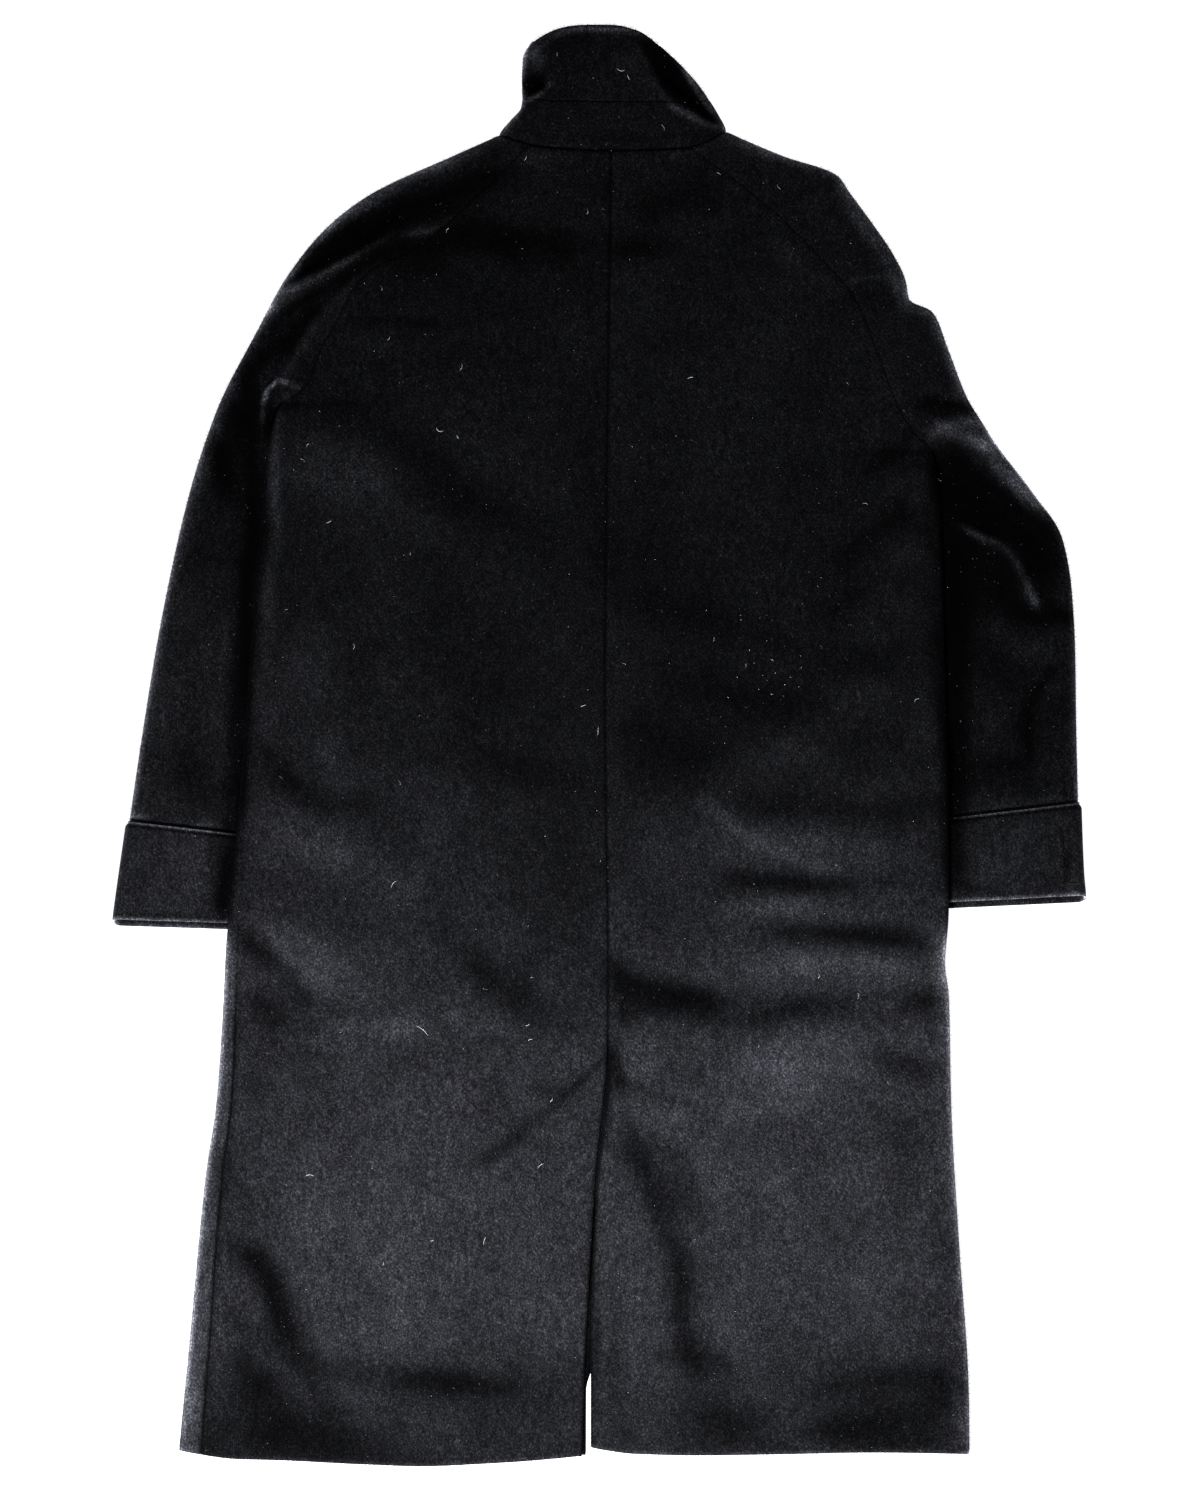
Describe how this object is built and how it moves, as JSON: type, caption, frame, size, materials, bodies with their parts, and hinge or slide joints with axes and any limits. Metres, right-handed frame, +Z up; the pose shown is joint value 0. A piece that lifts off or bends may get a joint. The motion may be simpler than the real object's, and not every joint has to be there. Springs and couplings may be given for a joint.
{
  "type": "raglan overcoat",
  "caption": "Raglan overcoat in dark wool laid flat on its front, with turned-up collar, centre-back seam, slit vent and cuff bands.",
  "frame": {"origin": "centre of the bounding box, on the surface that the coat lies on", "axes": "+Z up out of the back of the coat, +Y towards the collar, +X towards the wearer's right"},
  "size_m": [0.826, 1.2215, 0.0247],
  "materials": {
    "wool": "dark charcoal wool coating with a short nap and pale flecks",
    "button": "dark horn-look plastic, satin"
  },
  "bodies": {
    "root": {"back_left": "wool", "back_right": "wool", "front_left": "wool", "front_right": "wool", "sleeve_left_back": "wool", "sleeve_left_front": "wool", "sleeve_right_back": "wool", "sleeve_right_front": "wool", "cuff_left": "wool", "cuff_right": "wool", "collar_stand": "wool", "collar_leaf": "wool", "button_1": "button", "button_2": "button", "button_3": "button", "button_4": "button", "button_5": "button"}
  },
  "joints": []
}
